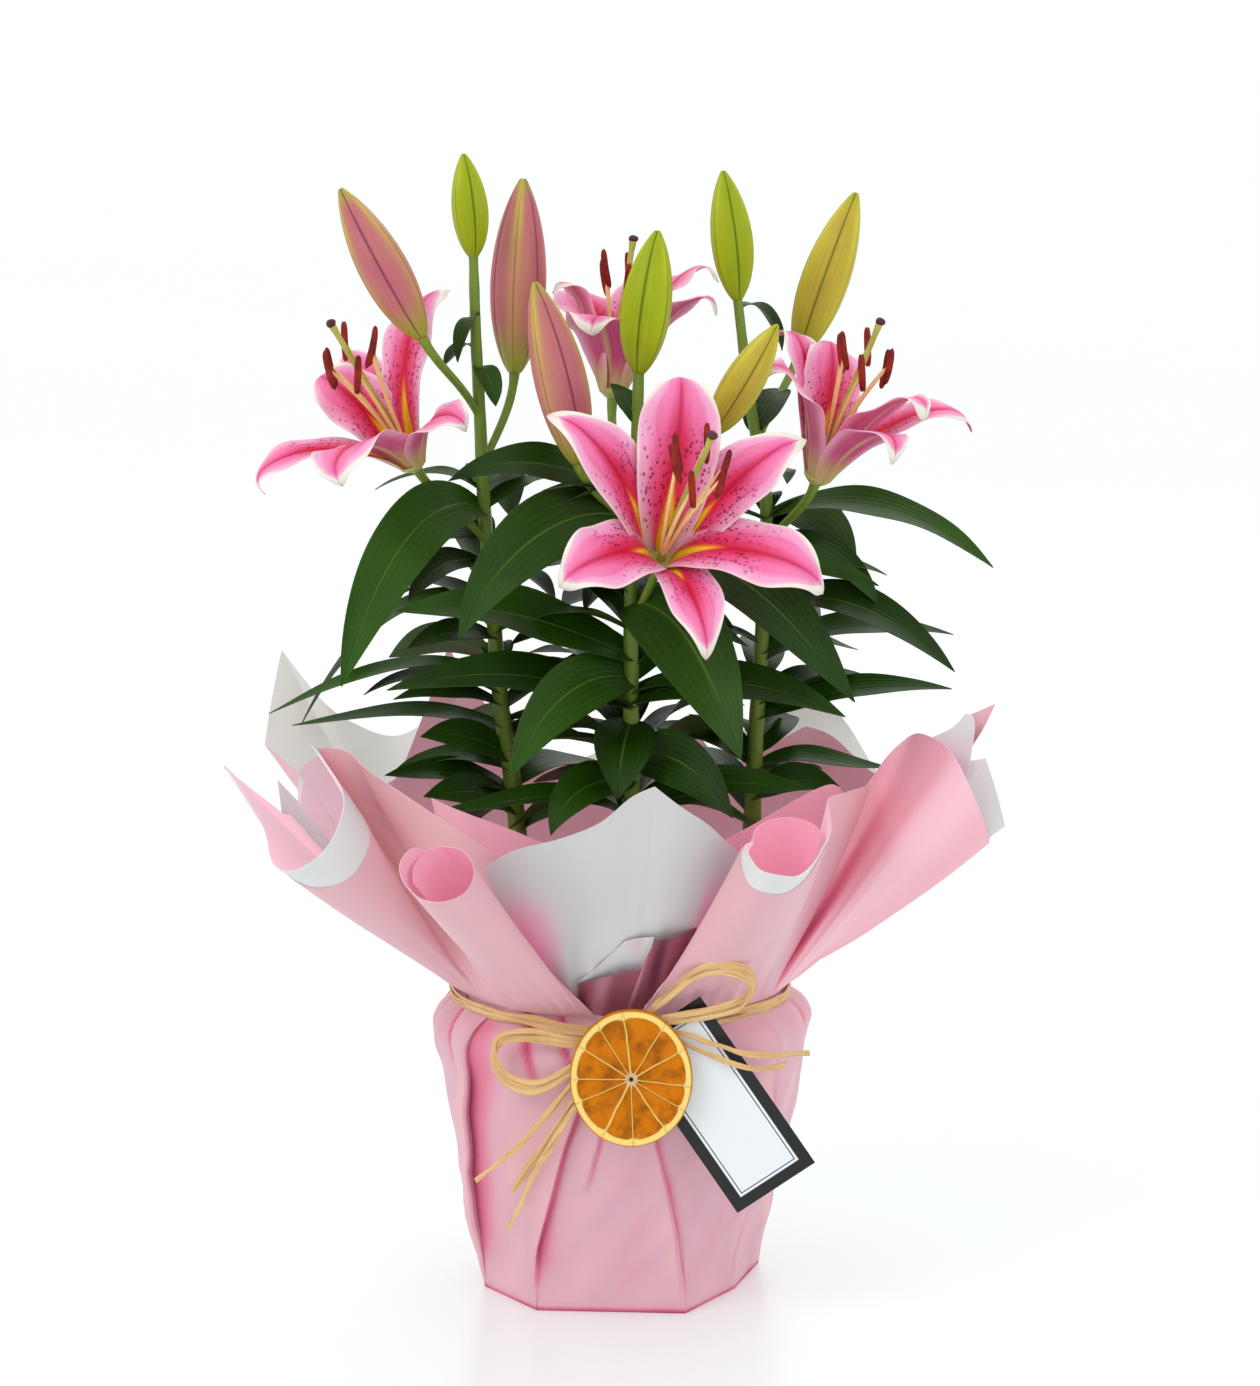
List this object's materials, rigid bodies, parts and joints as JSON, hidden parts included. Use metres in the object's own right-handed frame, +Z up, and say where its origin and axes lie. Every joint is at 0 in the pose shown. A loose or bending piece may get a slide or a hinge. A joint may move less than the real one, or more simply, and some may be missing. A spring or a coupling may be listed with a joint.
{
  "type": "potted lily in a paper wrap",
  "caption": "Pink oriental lily with leafy stems, open flowers and buds in a nursery pot, standing in pleated two-coloured paper tied with raffia, with a dried orange slice and a blank card.",
  "frame": {"origin": "on the ground under the middle of the wrapped base", "axes": "+Z up, -Y towards the front, where the raffia bow and the card hang, +X to the right of a viewer in front"},
  "size_m": [0.4156, 0.3332, 0.6151],
  "materials": {
    "pot_plastic": "matte black nursery plastic",
    "soil": "damp potting soil",
    "pink_paper": "satin florist paper, pink outside and white inside",
    "white_paper": "satin florist paper, white outside and pink inside",
    "raffia": "dry raffia strands",
    "dried_orange": "dried orange flesh with a pale rind",
    "card": "smooth card with a dark border",
    "foliage": "waxy green leaf",
    "tepal": "pink petal with a white margin and a crimson band",
    "stamen": "rust brown pollen on pale green filaments",
    "green_bud": "waxy yellow-green bud",
    "pink_bud": "waxy dusty pink bud with green ribs"
  },
  "bodies": {
    "root": {"nursery_pot": "pot_plastic", "soil": "soil", "wrap_outer": "pink_paper", "wrap_inner": "white_paper", "raffia_tie": "raffia", "orange_slice": "dried_orange", "gift_card": "card", "stem_left": "foliage", "stem_centre": "foliage", "stem_right": "foliage", "bloom_left": "tepal", "stamens_left": "stamen", "bloom_front": "tepal", "stamens_front": "stamen", "bloom_right": "tepal", "stamens_right": "stamen", "bloom_back": "tepal", "stamens_back": "stamen", "bud_a": "pink_bud", "bud_b": "green_bud", "bud_c": "pink_bud", "bud_d": "pink_bud", "bud_e": "green_bud", "bud_f": "green_bud", "bud_g": "green_bud", "bud_h": "green_bud"}
  },
  "joints": []
}
